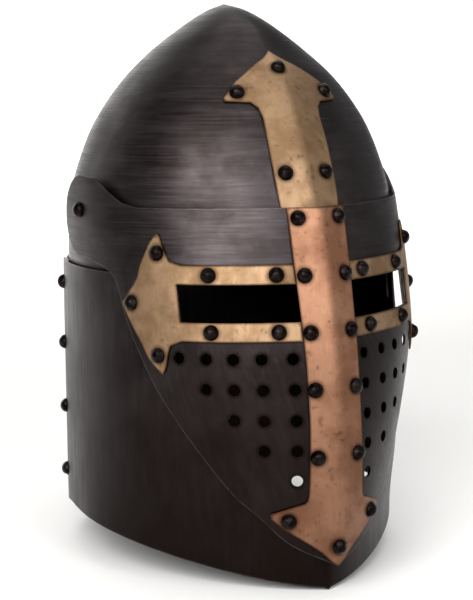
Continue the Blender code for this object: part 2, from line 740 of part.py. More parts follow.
# Brass strip up the crown's ridge
crown_strip = add_object("crown_strip", crown_surface.copy(), helm)
crown_strip.data.materials.clear()
mirror(crown_strip)
raise_off(crown_strip, CLEARANCE)
wall(crown_strip, TRIM, True)
cut(crown_strip, front_prism("crown_strip_outline", strip_outline(
    CROWN_ARROW, *crown_arrow, VISOR_TOP - CROWN_STRIP_TUCK)), "INTERSECT")
cut(crown_strip, crown_hole_cutter)
crown_strip.data.materials.append(brass)

# Visor with its slits and breath holes. The visor and all that it carries hang on an empty
# at the middle of the hinge axis.
pivot = bpy.data.objects.new("visor_pivot", None)
pivot.location = (0.0, side_y - PIVOT_SETBACK, PIVOT_HEIGHT)
helm.objects.link(pivot)

slit_inner = STRIP_HALF_WIDTH + 3 * CLEARANCE
bm = bmesh.new()
for side in (1, -1):
    size = Vector((SLIT_END - slit_inner, FAR, SLIT_HEIGHT))
    place = Vector((side * (SLIT_END + slit_inner) / 2, side_y - FAR / 2, SLIT_MIDDLE))
    bmesh.ops.create_cube(bm, size=1.0, matrix=Matrix.LocRotScale(place, None, size))
slit_mesh = bpy.data.meshes.new("sight_slits")
bm.to_mesh(slit_mesh)
bm.free()
slit_cutter = as_cutter(add_object("sight_slits", slit_mesh, cutters))

breath = []
for row in range(BREATH_ROWS):
    for column in range(BREATH_ROWS - row):
        out = STRIP_HALF_WIDTH + BREATH_FIRST + BREATH_COLUMNS[column]
        height = SLIT_MIDDLE - BREATH_DROP - row * BREATH_STEP_DOWN
        for side in (1, -1):
            spot = seat_matrix(*from_front(visor_tree, out, height), side)
            breath.append((spot, BREATH_REACH))
breath_cutter = hole_cutter("breath_holes", breath, BREATH_RADIUS, BREATH_SIDES)

visor = add_object("visor", visor_surface, helm)
mirror(visor)
wall(visor, PLATE, False)
cut(visor, side_prism("visor_outline", visor_outline()), "INTERSECT")
cut(visor, slit_cutter)
cut(visor, breath_cutter)
cut(visor, visor_hole_cutter)
cut(visor, pivot_hole_cutter)

# Copper strip down the visor's ridge
visor_strip = add_object("visor_strip", visor_surface.copy(), helm)
mirror(visor_strip)
raise_off(visor_strip, CLEARANCE)
wall(visor_strip, TRIM, True)
cut(visor_strip, front_prism("visor_strip_outline", strip_outline(
    VISOR_ARROW, *visor_arrow, VISOR_TOP - CLEARANCE)), "INTERSECT")
cut(visor_strip, visor_hole_cutter)
visor_strip.data.materials.append(copper)

# Brass frames round the slits
frames = []
for side in (1, -1):
    frame = add_object(f"sight_frame_{side_name(side)}", visor_surface.copy(), helm)
    mirror(frame)
    raise_off(frame, CLEARANCE)
    wall(frame, TRIM, True)
    outline = front_prism(f"frame_outline_{side_name(side)}", frame_outline(side))
    cut(frame, outline, "INTERSECT")
    cut(frame, visor_hole_cutter)
    frame.data.materials.append(brass)
    frames.append(frame)
visor.data.materials.append(steel)

# What the visor carries turns with its pivot
carried = [visor, visor_strip] + frames
carried += [piece for piece in helm.objects
            if piece.name.startswith(("strip_rivet", "frame_rivet"))]
bpy.context.view_layer.update()
for piece in carried:
    piece.parent = pivot
    piece.matrix_parent_inverse = pivot.matrix_world.inverted()
bpy.context.view_layer.update()
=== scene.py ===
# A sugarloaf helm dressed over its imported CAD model: smooth sheet steel plates, a copper strip,
# brass trim and domed rivets. Metres, +Z up, the face looks along -Y.
import bisect
import math

import bmesh
import bpy
from mathutils import Matrix, Vector, kdtree


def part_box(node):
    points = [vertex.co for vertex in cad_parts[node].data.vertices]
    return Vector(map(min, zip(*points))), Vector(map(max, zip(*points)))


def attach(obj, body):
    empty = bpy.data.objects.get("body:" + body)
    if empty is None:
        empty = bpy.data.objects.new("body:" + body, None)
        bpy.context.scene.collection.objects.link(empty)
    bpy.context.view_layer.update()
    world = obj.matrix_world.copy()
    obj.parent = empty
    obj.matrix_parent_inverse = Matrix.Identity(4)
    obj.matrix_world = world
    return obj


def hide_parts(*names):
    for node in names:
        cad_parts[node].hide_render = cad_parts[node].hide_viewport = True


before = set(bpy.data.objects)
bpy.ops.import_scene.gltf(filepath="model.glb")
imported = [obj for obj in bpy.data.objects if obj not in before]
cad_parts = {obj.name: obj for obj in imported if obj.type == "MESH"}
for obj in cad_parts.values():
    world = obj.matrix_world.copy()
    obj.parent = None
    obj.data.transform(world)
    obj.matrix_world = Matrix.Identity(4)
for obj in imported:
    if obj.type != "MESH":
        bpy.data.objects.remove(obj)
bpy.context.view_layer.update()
print("frame loaded,", len(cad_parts), "nodes")

sideY = 0.01085   # widest line of the helm, front to back
airGap = 0.0003   # between pieces that touch
sheet = 0.0015    # steel
trimSheet = 0.0012
frontLift = sheet + 2 * airGap   # the front plate lies over the back plate
flatScale = 0.1   # one quarter of the way round is this long on the flat pattern


def makeSurface(rows):
    # rows hold height, half width, front, back, keel degrees, spread and pull, bottom to top
    lengths = [0.0]
    for low, high in zip(rows, rows[1:]):
        step = math.dist((low[0], low[1], low[2]), (high[0], high[1], high[2]))
        lengths.append(lengths[-1] + step)
    slopes = []
    for index in range(len(rows)):
        a, b = max(index - 1, 0), min(index + 1, len(rows) - 1)
        slopes.append([(q - p) / (lengths[b] - lengths[a]) for p, q in zip(rows[a], rows[b])])
    surface = {"rows": rows, "lengths": lengths, "slopes": slopes}
    samples = [lengths[-1] * k / 800 for k in range(801)]
    surface["samples"] = samples
    surface["heights"] = [rowAt(surface, s)[0] for s in samples]
    return surface


def rowAt(surface, s):
    lengths = surface["lengths"]
    index = min(max(bisect.bisect_right(lengths, s) - 1, 0), len(lengths) - 2)
    span = lengths[index + 1] - lengths[index]
    k = min(max((s - lengths[index]) / span, 0.0), 1.0)
    a, b = surface["rows"][index], surface["rows"][index + 1]
    da, db = surface["slopes"][index], surface["slopes"][index + 1]
    h1, h2 = 2 * k ** 3 - 3 * k ** 2 + 1, k ** 3 - 2 * k ** 2 + k
    h3, h4 = -2 * k ** 3 + 3 * k ** 2, k ** 3 - k ** 2
    return [h1 * p + h2 * span * dp + h3 * q + h4 * span * dq
            for p, dp, q, dq in zip(a, da, b, db)]


def lengthAt(surface, z):
    heights, samples = surface["heights"], surface["samples"]
    index = min(max(bisect.bisect_left(heights, z), 1), len(heights) - 1)
    low, high = heights[index - 1], heights[index]
    k = min(max((z - low) / (high - low), 0.0), 1.0)
    return samples[index - 1] + k * (samples[index] - samples[index - 1])


def ringPoint(row, t):
    # t runs from 0 at the front ridge over 1 at the side to 2 at the back
    z, width, front, back, keel, spread, pull = row
    if t > 1.0:
        angle = (t - 1.0) * math.pi / 2
        return Vector((width * math.cos(angle), sideY + back * math.sin(angle), z))
    s = 1.0 - t
    reach = spread * width
    shoulder = front - reach * math.tan(math.radians(keel))
    x = 3 * s * s * t * reach + 3 * s * t * t * width + t ** 3 * width
    y = s ** 3 * front + 3 * s * s * t * shoulder + 3 * s * t * t * pull * front
    return Vector((x, sideY - y, z))


def place(surface, t, s):
    if surface["lengths"][-1] - s < surface.get("tipCap", 0.0):
        s = surface["lengths"][-1]
    return ringPoint(rowAt(surface, s), t)


def solveTurn(row, axis, value):
    low, high = 0.0, 1.0
    for _ in range(36):
        middle = (low + high) / 2
        if ringPoint(row, middle)[axis] < value:
            low = middle
        else:
            high = middle
    return low


def fromFront(surface, x, z):
    s = lengthAt(surface, z)
    return solveTurn(rowAt(surface, s), 0, x) if x > 1e-6 else 0.0, s


def fromSide(surface, y, z):
    s = lengthAt(surface, z)
    row = rowAt(surface, s)
    if y > sideY:
        return 1.0 + math.asin(min((y - sideY) / row[3], 1.0)) * 2 / math.pi, s
    return solveTurn(row, 1, y), s


def wayOut(surface, t, s):
    # the direction straight out of the surface at a flat pattern's spot
    if t < 1e-6:
        up = place(surface, 0.0, s + 0.001) - place(surface, 0.0, s)
        normal = Vector((0.0, -up.z, up.y))
    else:
        across = place(surface, t + 0.004, s) - place(surface, t - 0.004, s)
        up = place(surface, t, s + 0.001) - place(surface, t, s - 0.001)
        normal = across.cross(up)
    return normal.normalized() if normal.length > 1e-9 else Vector((0, 0, 1))


def seatOn(surface, spot, side=1):
    # a matrix with +Z out of the surface at a flat pattern's spot
    here, normal = place(surface, *spot), wayOut(surface, *spot)
    here.x, normal.x = here.x * side, normal.x * side
    return Matrix.Translation(here) @ normal.to_track_quat("Z", "Y").to_matrix().to_4x4()


def smoothRun(points, steps=5):
    # a soft line through the points, both ends kept
    made = []
    last = len(points) - 1
    for index in range(last):
        p0, p1 = points[max(index - 1, 0)], points[index]
        p2, p3 = points[index + 1], points[min(index + 2, last)]
        for step in range(steps):
            k = step / steps
            made.append(tuple(
                0.5 * (2 * b + (c - a) * k + (2 * a - 5 * b + 4 * c - d) * k * k
                       + (3 * b - a - 3 * c + d) * k ** 3)
                for a, b, c, d in zip(p0, p1, p2, p3)))
    return made + [tuple(points[-1])]


def evenSteps(points, step):
    # more points along long straight runs, so that they follow the surface
    made = []
    for a, b in zip(points, points[1:] + points[:1]):
        count = max(1, math.ceil(math.dist(a, b) / step))
        made += [tuple(p + (q - p) * k / count for p, q in zip(a, b)) for k in range(count)]
    return made


def flatSheet(loops, columnStep, rowStep):
    # fills the outline and its holes, then cuts the fill into small cells
    curve = bpy.data.curves.new("pattern", "CURVE")
    curve.dimensions, curve.fill_mode = "2D", "BOTH"
    for loop in loops:
        spline = curve.splines.new("POLY")
        spline.points.add(len(loop) - 1)
        for point, (t, s) in zip(spline.points, loop):
            point.co = (t * flatScale, s, 0.0, 1.0)
        spline.use_cyclic_u = True
    drawn = bpy.data.objects.new("pattern", curve)
    bpy.context.scene.collection.objects.link(drawn)
    bpy.context.view_layer.update()
    graph = bpy.context.evaluated_depsgraph_get()
    mesh = bpy.data.meshes.new_from_object(drawn.evaluated_get(graph))
    bpy.data.objects.remove(drawn)
    bpy.data.curves.remove(curve)
    bm = bmesh.new()
    bm.from_mesh(mesh)
    bpy.data.meshes.remove(mesh)
    bmesh.ops.remove_doubles(bm, verts=bm.verts, dist=1e-6)
    for axis, step in ((0, columnStep * flatScale), (1, rowStep)):
        low = min(v.co[axis] for v in bm.verts)
        high = max(v.co[axis] for v in bm.verts)
        count = round((high - low) / step)
        normal = Vector((1, 0, 0)) if axis == 0 else Vector((0, 1, 0))
        for index in range(1, count):
            at = normal * (low + (high - low) * index / count)
            bmesh.ops.bisect_plane(bm, geom=bm.verts[:] + bm.edges[:] + bm.faces[:],
                                   dist=0.00008, plane_co=at, plane_no=normal)
    slanted = [e for e in bm.edges if len(e.link_faces) == 2
               and min(abs(e.verts[0].co[i] - e.verts[1].co[i]) for i in (0, 1)) > 0.0001]
    bmesh.ops.dissolve_edges(bm, edges=slanted, use_verts=False)
    bmesh.ops.dissolve_verts(bm, verts=[v for v in bm.verts if len(v.link_edges) == 2
                                        and not v.is_boundary])
    return bm


def rimPoints(bm):
    found = []
    for edge in bm.edges:
        a, b = edge.verts[0].co, edge.verts[1].co
        if edge.is_boundary and max(a.x, b.x) > 1e-5:
            if not (a.y > sideY and b.y > sideY and max(a.x, b.x) < 1e-4):
                found += [a.lerp(b, k) for k in (0.0, 0.33, 0.67)]
    return found


def storeDistance(bm, name, points):
    # how far each vertex is from the nearest of the points, in millimetres
    layer = bm.verts.layers.float.new(name)
    tree = kdtree.KDTree(max(len(points), 1))
    for index, point in enumerate(points):
        tree.insert(point, index)
    tree.balance()
    for v in bm.verts:
        v[layer] = min(tree.find(v.co)[2] * 1000, 60.0) if points else 60.0


def wrapSheet(name, surface, loops, lift, thickness, outward, cells, both=True, marks={}):
    bm = flatSheet(loops, *cells)
    way = bm.verts.layers.float_vector.new("way")
    for v in bm.verts:
        t, s = v.co.x / flatScale, v.co.y
        v[way] = wayOut(surface, t, s)
        v.co = place(surface, t, s)
        if v.co.x < 0.00012:
            v.co.x = 0.0
    bmesh.ops.remove_doubles(bm, verts=bm.verts, dist=0.00012)
    bmesh.ops.dissolve_degenerate(bm, edges=bm.edges, dist=0.00008)
    for v in bm.verts:
        if v.co.x < 0.00012:
            v.co.x = v[way].x = 0.0
    rim = rimPoints(bm)
    storeDistance(bm, "edgeDistance", rim)
    for mark, points in marks.items():
        storeDistance(bm, mark, points)
    if both:
        bmesh.ops.mirror(bm, geom=bm.verts[:] + bm.edges[:] + bm.faces[:],
                         matrix=Matrix.Identity(4), merge_dist=1e-5, axis="X")
    for v in bm.verts:
        if v.co.x < 0:
            v[way].x *= -1
        v.co += v[way] * lift
    grown = bmesh.ops.extrude_face_region(bm, geom=bm.faces[:], use_keep_orig=True)["geom"]
    for v in [g for g in grown if isinstance(g, bmesh.types.BMVert)]:
        v.co += v[way] * (thickness if outward else -thickness)
    bm.verts.layers.float_vector.remove(way)
    bmesh.ops.recalc_face_normals(bm, faces=bm.faces)
    for face in bm.faces:
        face.smooth = True
    piece = addPiece(name, bm)
    edge = piece.modifiers.new("edge", "BEVEL")
    edge.width, edge.segments = 0.00030, 2
    edge.limit_method, edge.angle_limit = "ANGLE", math.radians(50)
    edge.use_clamp_overlap = False
    shade = piece.modifiers.new("shade", "WEIGHTED_NORMAL")
    shade.keep_sharp = True
    return piece, rim


def addPiece(name, bm):
    mesh = bpy.data.meshes.new(name)
    bm.to_mesh(mesh)
    bm.free()
    piece = bpy.data.objects.new(name, mesh)
    bpy.context.scene.collection.objects.link(piece)
    return piece


def settle(piece, body, slotName, material, *nodes):
    piece.data.materials.clear()
    piece.data.materials.append(material)
    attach(piece, body)
    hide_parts(*nodes)


def linear(hexColour):
    channels = [int(hexColour[i:i + 2], 16) / 255 for i in (1, 3, 5)]
    return tuple(c / 12.92 if c <= 0.04045 else ((c + 0.055) / 1.055) ** 2.4
                 for c in channels) + (1.0,)


def addNode(tree, kind, inputs, **settings):
    node = tree.nodes.new(kind)
    for name, value in settings.items():
        setattr(node, name, value)
    for socket, value in inputs.items():
        if isinstance(value, bpy.types.NodeSocket):
            tree.links.new(value, node.inputs[socket])
        else:
            node.inputs[socket].default_value = value
    return node


def newMetal(name, roughness):
    material = bpy.data.materials.new(name)
    material.use_nodes = True
    shader = material.node_tree.nodes["Principled BSDF"]
    shader.inputs["Metallic"].default_value = 1.0
    shader.inputs["Roughness"].default_value = roughness
    return material, material.node_tree, shader


def grain(tree, stretch, turn=(0, 0, 0), detail=3.0, seed=0.0):
    # noise with stretched cells: 1 / stretch is a cell's size in metres on that axis
    where = addNode(tree, "ShaderNodeTexCoord", {}).outputs["Object"]
    turned = addNode(tree, "ShaderNodeMapping", {"Vector": where, "Rotation": turn})
    sized = addNode(tree, "ShaderNodeMapping",
                    {"Vector": turned.outputs[0], "Scale": stretch, "Location": (seed, seed, seed)})
    noise = addNode(tree, "ShaderNodeTexNoise", {"Vector": sized.outputs[0], "Scale": 1.0,
                                                "Detail": detail, "Roughness": 0.6})
    return noise.outputs[0]


def rampOf(tree, value, low, high, outLow=0.0, outHigh=1.0):
    return addNode(tree, "ShaderNodeMapRange", {
        "Value": value, "From Min": low, "From Max": high, "To Min": outLow, "To Max": outHigh},
        interpolation_type="SMOOTHSTEP").outputs[0]


def near(tree, attribute, full, gone):
    # 1 within full millimetres of a marked line, 0 from gone millimetres on
    read = addNode(tree, "ShaderNodeAttribute", {}, attribute_name=attribute)
    return rampOf(tree, read.outputs["Fac"], full, gone, 1.0, 0.0)


def times(tree, a, b):
    return addNode(tree, "ShaderNodeMath", {0: a, 1: b}, operation="MULTIPLY").outputs[0]


def blendOf(tree, factor, a, b, mode="MIX"):
    return addNode(tree, "ShaderNodeMix", {0: factor, 6: a, 7: b}, data_type="RGBA",
                   blend_type=mode).outputs[2]


# Oil blackened mild steel sheet, brushed by hand: dark brown grey with fine lines along the
# brushing, darker clouds where the oil burned on, and paler metal worn bare along the edges.
steelLook = {
    "oil": "#221d1b", "bare": "#423c3d", "worn": "#544e4d", "scorchAndShade": "#150e0b",
    "roughness": 0.40, "lineWidth": 0.0011, "lineLength": 0.045, "cloud": 0.055,
}


def brushLines(tree, along, turn):
    # 1.1 mm lines, coarser than real brushing so that they show, and 4.4 mm bands
    look = steelLook
    fine = [1 / look["lineLength"] if axis in along else 1 / look["lineWidth"] for axis in "xyz"]
    broad = [f / 4 if f > 100 else f for f in fine]
    return grain(tree, fine, turn, 4.0), grain(tree, broad, turn, 2.0, 3.7)


def blackenedSteel(name, along, turn=(0, 0, 0), shadeBands=(), below=None):
    look = steelLook
    material, tree, shader = newMetal(name, look["roughness"])
    where = addNode(tree, "ShaderNodeTexCoord", {}).outputs["Object"]
    split = addNode(tree, "ShaderNodeSeparateXYZ", {0: where})
    lines, broad = brushLines(tree, along, turn)
    if below:   # brushed another way below a height
        height, alongLow, turnLow = below
        share = rampOf(tree, split.outputs[2], height - 0.008, height + 0.008)
        low = brushLines(tree, alongLow, turnLow)
        lines, broad = [addNode(tree, "ShaderNodeMix", {0: share, 2: a, 3: b}).outputs[0]
                        for a, b in zip(low, (lines, broad))]
    clouds = grain(tree, (1 / look["cloud"],) * 3, detail=4.0, seed=1.3)
    spots = grain(tree, (140,) * 3, detail=3.0, seed=8.1)   # 7 mm specks
    colour = blendOf(tree, rampOf(tree, clouds, 0.34, 0.66), linear(look["oil"]),
                     linear(look["bare"]))
    streak = rampOf(tree, lines, 0.30, 0.72)
    wide = rampOf(tree, broad, 0.35, 0.65)
    colour = blendOf(tree, times(tree, streak, 0.50), colour, linear(look["bare"]))
    colour = blendOf(tree, times(tree, wide, 0.38), colour, linear(look["oil"]))
    scratch = times(tree, rampOf(tree, lines, 0.60, 0.72), rampOf(tree, clouds, 0.40, 0.60))
    colour = blendOf(tree, times(tree, scratch, 0.45), colour, linear(look["worn"]))
    colour = blendOf(tree, times(tree, rampOf(tree, spots, 0.60, 0.75), 0.30), colour,
                     linear(look["scorchAndShade"]))
    for low, high, share in shadeBands:   # painted shade, darker toward this end of the height
        factor = times(tree, rampOf(tree, split.outputs[2], low, high, 1.0, 0.0), share)
        colour = blendOf(tree, factor, colour, linear(look["scorchAndShade"]))
    # painted shadow round the rivet heads
    colour = blendOf(tree, times(tree, near(tree, "rivetDistance", 4.6, 7.6), 0.50), colour,
                     linear("#1d120c"))
    # painted shadow along the edges of the trim that lies on the steel
    colour = blendOf(tree, times(tree, near(tree, "trimDistance", 0.2, 1.5), 0.75), colour,
                     linear("#130b08"))
    edge = times(tree, near(tree, "edgeDistance", 0.2, 1.2),
                 rampOf(tree, spots, 0.30, 0.60, 0.10, 0.50))
    if below:   # painted shade round the breath holes instead of bare edges
        read = addNode(tree, "ShaderNodeAttribute", {}, attribute_name="holeDistance")
        edge = times(tree, edge, rampOf(tree, read.outputs["Fac"], 5.0, 6.0))
        colour = blendOf(tree, times(tree, near(tree, "holeDistance", 3.9, 6.2), 0.75), colour,
                         linear(look["scorchAndShade"]))
    colour = blendOf(tree, edge, colour, linear(look["worn"]))
    tree.links.new(colour, shader.inputs["Base Color"])
    rough = addNode(tree, "ShaderNodeMath", {0: rampOf(tree, lines, 0.25, 0.75, 0.30, 0.46),
                                            1: rampOf(tree, clouds, 0.30, 0.70, 0.06, -0.03)},
                    operation="ADD").outputs[0]
    tree.links.new(rough, shader.inputs["Roughness"])
    waves = grain(tree, (1 / 0.035,) * 3, detail=1.0, seed=5.0)   # hand hammered unevenness
    deep = addNode(tree, "ShaderNodeBump", {"Height": waves, "Strength": 0.35,
                                           "Distance": 0.0012})
    bump = addNode(tree, "ShaderNodeBump", {"Height": lines, "Strength": 0.30,
                                           "Distance": 0.00012, "Normal": deep.outputs[0]})
    tree.links.new(bump.outputs[0], shader.inputs["Normal"])
    return material


# Sheet brass and sheet copper, brushed and left to tarnish: a soft metal sheen under brown
#  stains that gather at the edges, with painted shadow round the rivets.
def agedTrim(name, clean, tarnish, stainAndShade, roughness, cloud, seed, footShade=None):
    material, tree, shader = newMetal(name, roughness)
    clouds = grain(tree, (1 / cloud,) * 3, detail=4.0, seed=seed)
    lines = grain(tree, (900, 900, 22), detail=3.0, seed=seed)   # 1.1 mm brush lines down it
    spots = grain(tree, (210,) * 3, detail=4.0, seed=seed + 2)   # 5 mm stains
    colour = blendOf(tree, rampOf(tree, clouds, 0.36, 0.64), linear(clean), linear(tarnish))
    colour = blendOf(tree, times(tree, rampOf(tree, lines, 0.35, 0.75), 0.30), colour,
                     linear(tarnish))
    colour = blendOf(tree, times(tree, rampOf(tree, spots, 0.56, 0.72), 0.45), colour,
                     linear(stainAndShade))
    # painted shadow round the rivet heads
    colour = blendOf(tree, times(tree, near(tree, "rivetDistance", 4.8, 7.6), 0.60), colour,
                     linear(stainAndShade))
    colour = blendOf(tree, times(tree, near(tree, "edgeDistance", 0.25, 1.5), 0.70), colour,
                     linear(stainAndShade))
    if footShade:   # painted shade, darker toward its foot
        where = addNode(tree, "ShaderNodeTexCoord", {}).outputs["Object"]
        height = addNode(tree, "ShaderNodeSeparateXYZ", {0: where}).outputs[2]
        low, high, share = footShade
        colour = blendOf(tree, times(tree, rampOf(tree, height, low, high, 1.0, 0.0), share),
                         colour, linear(stainAndShade))
    tree.links.new(colour, shader.inputs["Base Color"])
    tree.links.new(rampOf(tree, clouds, 0.3, 0.7, roughness - 0.05, roughness + 0.10),
                   shader.inputs["Roughness"])
    waves = grain(tree, (60, 60, 40), detail=1.0, seed=seed)   # 17 to 25 mm dents
    deep = addNode(tree, "ShaderNodeBump", {"Height": waves, "Strength": 0.35,
                                           "Distance": 0.0007})
    bump = addNode(tree, "ShaderNodeBump", {"Height": lines, "Strength": 0.25,
                                           "Distance": 0.0001, "Normal": deep.outputs[0]})
    tree.links.new(bump.outputs[0], shader.inputs["Normal"])
    return material


# Forged iron rivet heads, blackened in oil and rubbed: nearly black, with small hammer facets.
def rivetIron():
    material, tree, shader = newMetal("oiled forged iron", 0.34)
    clouds = grain(tree, (220,) * 3, detail=3.0)   # 4.5 mm hammer facets
    colour = blendOf(tree, rampOf(tree, clouds, 0.35, 0.70), linear("#0f0b0a"),
                     linear("#262120"))
    tree.links.new(colour, shader.inputs["Base Color"])
    tree.links.new(rampOf(tree, clouds, 0.3, 0.7, 0.28, 0.42), shader.inputs["Roughness"])
    bump = addNode(tree, "ShaderNodeBump", {"Height": clouds, "Strength": 0.4,
                                           "Distance": 0.0004})
    tree.links.new(bump.outputs[0], shader.inputs["Normal"])
    return material


# the bands are painted shade: the crown darker toward its apex, the plates and visor darker toward
# the bottom
crownSteel = blackenedSteel("blackened steel, brushed round", "xy",
                            shadeBands=((0.36, 0.27, 0.30),))
plateSteel = blackenedSteel("blackened steel, brushed up", "z",
                            shadeBands=((0.02, 0.17, 0.65), (0.10, 0.26, 0.60)))
visorSteel = blackenedSteel("blackened steel, brushed across and down", "xy",
                            shadeBands=((0.10, 0.22, 0.75),), below=(0.196, "z", (0.0, 0.32, 0.0)))
brass = agedTrim("tarnished sheet brass", "#a08366", "#7d6349", "#3a2616", 0.50, 0.028, 2.0)
copper = agedTrim("tarnished sheet copper", "#a57b62", "#855e47", "#331c10", 0.50, 0.034, 6.0,
                  footShade=(0.03, 0.20, 0.40))
iron = rivetIron()
print("materials made")


skull = {
    "halfWidth": 0.105, "front": 0.1355, "back": 0.129, "seam": 0.195, "top": 0.363,
    "lap": 0.028, "frontPlateEnd": 0.0555, "backPlateStart": 0.0345,
    "rimRise": 0.032, "rimPeak": 0.023, "rimFlat": 0.116, "rimSweep": 1.65,
    # height from 0 at the rim over 1 at the seam to 2, shares of the sizes above, keel degrees
    "sections": (
        (-0.041, 1.010, 0.973, 0.980, 17, 0.41, 0.45),
        (0.164, 1.010, 0.973, 0.992, 17, 0.41, 0.45),
        (0.385, 1.005, 1.000, 1.000, 17, 0.41, 0.56),
        (0.667, 1.000, 0.992, 1.000, 16, 0.41, 0.63),
        (1.018, 0.995, 0.937, 0.982, 15, 0.43, 0.58),
        (1.246, 0.990, 0.886, 0.890, 14, 0.46, 0.68),
        (1.401, 0.929, 0.813, 0.798, 13, 0.47, 0.71),
        (1.551, 0.829, 0.726, 0.688, 12, 0.47, 0.71),
        (1.699, 0.662, 0.606, 0.553, 11, 0.48, 0.69),
        (1.818, 0.470, 0.438, 0.404, 8, 0.50, 0.65),
        (1.914, 0.262, 0.306, 0.255, 5, 0.52, 0.60),
        (1.972, 0.114, 0.158, 0.118, 2, 0.55, 0.55),
        (2.000, 0.000, 0.000, 0.000, 0, 0.55, 0.55),
    ),
    # the face opening from the side: share of the front, share of the way up the visor
    "opening": ((1.002, -0.016), (0.973, 0.004), (0.935, 0.048), (0.860, 0.140),
                (0.790, 0.238), (0.655, 0.410), (0.548, 0.575), (0.462, 0.710),
                (0.432, 0.840), (0.455, 0.915), (0.520, 0.950)),
}
visor = {
    "halfWidth": 0.110, "front": 0.151, "tip": 0.018, "rise": 0.2145, "top": 0.2365,
    "earRadius": 0.026, "earY": -0.0105, "earZ": 0.2285, "earMargin": 0.008,
    "sections": (
        (-0.084, 0.800, 0.954, 0.876, 15, 0.41, 0.60),
        (0.000, 0.818, 0.970, 0.915, 15, 0.41, 0.60),
        (0.142, 0.845, 0.991, 0.955, 15, 0.41, 0.61),
        (0.263, 0.864, 1.000, 0.987, 13, 0.47, 0.62),
        (0.393, 0.909, 0.999, 1.020, 15, 0.50, 0.67),
        (0.533, 0.962, 0.984, 1.035, 18, 0.53, 0.71),
        (0.627, 0.988, 0.968, 1.035, 19, 0.53, 0.72),
        (0.822, 0.997, 0.911, 1.035, 19, 0.52, 0.69),
        (1.018, 1.000, 0.844, 1.020, 17, 0.50, 0.60),
        (1.137, 0.980, 0.795, 1.005, 17, 0.50, 0.56),
    ),
    "brow": ((0.423, 1.018), (0.355, 1.030), (0.300, 1.050), (0.235, 1.077), (0.180, 1.097)),
    "jaw": ((0.225, 0.847), (0.300, 0.832), (0.345, 0.806), (0.372, 0.768), (0.392, 0.730),
            (0.425, 0.680), (0.485, 0.596), (0.553, 0.485), (0.650, 0.354), (0.760, 0.212),
            (0.835, 0.140), (0.890, 0.074), (0.950, 0.025), (0.972, 0.000)),
    "slitMiddle": 0.180, "slitHeight": 0.0222, "slitInner": 0.0172, "slitEnd": 0.0797,
    "holeRadius": 0.0035, "holeFirst": 0.0245, "holeDrop": 0.0328, "holeStep": 0.0185,
    "holeColumns": (0.0, 0.0172, 0.0320, 0.0452, 0.0572),
}


def skullRows(count, start):
    made = []
    for height, width, front, back, keel, spread, pull in skull["sections"][start:start + count]:
        z = skull["seam"] * min(height, 1.0)
        z += (skull["top"] - skull["seam"]) * max(height - 1.0, 0.0)
        made.append((z, width * skull["halfWidth"], front * skull["front"],
                     back * skull["back"], keel, spread, pull))
    return made


def visorHeight(up):
    # up runs from 0 at the visor's tip to 1 near its top
    return visor["tip"] + visor["rise"] * up


def visorRows():
    return [(visorHeight(up), width * visor["halfWidth"],
             front * visor["front"], back * skull["back"], keel, spread, pull)
            for up, width, front, back, keel, spread, pull in visor["sections"]]


lowerSurface = makeSurface(skullRows(6, 0))
crownSurface = makeSurface(skullRows(10, 3))
crownSurface["tipCap"] = 0.005   # the last rows run straight to the apex
visorSurface = makeSurface(visorRows())


chinFront = -skull["sections"][0][2] * skull["front"]


def rimHeight(y):
    front = chinFront - frontLift - sheet
    peak = skull["rimPeak"]
    reach = peak - front if y < peak else skull["rimFlat"] - peak
    share = min(abs(y - peak) / reach, 1.0)
    return skull["rimRise"] * (1.0 - share ** skull["rimSweep"])


def sideLine(surface, points, front):
    return [fromSide(surface, sideY - front * ahead, visorHeight(up)) for ahead, up in points]


openingLine = smoothRun(skull["opening"], 4)
crownFoot = skull["seam"] - skull["lap"]

# rivets first: the plates need to know where they stand
strip = {
    "halfWidth": 0.0193, "copperWidths": ((0.2362, 0.0189), (0.200, 0.0186), (0.165, 0.0179),
                                          (0.140, 0.0175), (0.110, 0.0174), (0.085, 0.0178),
                                          (0.066, 0.0180)),   # height, half width
    "frameInner": 0.0196, "frameReach": 0.0827, "bar": 0.0115,
    "shoulder": 0.005, "arrowHeight": 0.084, "rivetOut": 0.01332,
    "visorArrow": (0.037, 0.0535, 0.018), "crownArrow": (0.039, 0.299, 0.330),
    "visorFoot": 0.2362, "crownFoot": 0.229,
    "fillet": ((0.0, 0.0660), (0.0005, 0.0618), (0.0022, 0.0593), (0.0056, 0.0580)),
    "visorPoints": ((0.640, -0.115), (0.880, -0.020), (1.000, 0.040), (0.985, 0.130),
                    (0.800, 0.310), (0.550, 0.500), (0.290, 0.700), (0.110, 0.890),
                    (0.000, 0.975)),
    "crownPoints": ((0.500, -0.330), (0.530, -0.130), (0.620, -0.020), (0.980, 0.010),
                    (0.985, 0.070), (0.740, 0.390), (0.380, 0.690), (0.150, 0.850),
                    (0.000, 1.000)),
    "framePoints": ((0.752, 0.590), (0.775, 0.755), (0.785, 0.930), (0.800, 0.975),
                    (0.835, 0.870), (0.868, 0.700), (0.900, 0.500), (0.915, 0.340),
                    (0.950, 0.150), (0.985, -0.040), (0.955, -0.330), (0.919, -0.590),
                    (0.883, -0.830), (0.820, -1.045), (0.808, -0.930), (0.800, -0.740),
                    (0.785, -0.610)),
}
rivets = {
    "radius": 0.0048, "dome": 0.0043, "shank": 0.0022, "tail": 0.0032, "peen": 0.0010,
    "strip": (0.988, 0.830, 0.673, 0.515, 0.325), "barb": (0.750, 0.155), "tip": (0.0, 0.628),
    "bars": ((0.114, 1.0), (0.543, 1.0), (0.138, -1.0), (0.561, -1.0)),
    "arrow": ((0.809, 0.702), (0.947, -0.036), (0.843, -0.762)),
    "crownBarb": (0.769, 0.177), "crownTip": (0.0, 0.645), "crownRise": 0.256,
    "seam": (0.922, 0.710, 0.484, 0.258), "seamY": 0.045, "back": (16, 46),
    "pivotSeat": 0.0002, "pivotTail": -0.0065,
}


def onArrow(point, arrow):
    width, base, tip = arrow
    return width * point[0], base + (tip - base) * point[1]


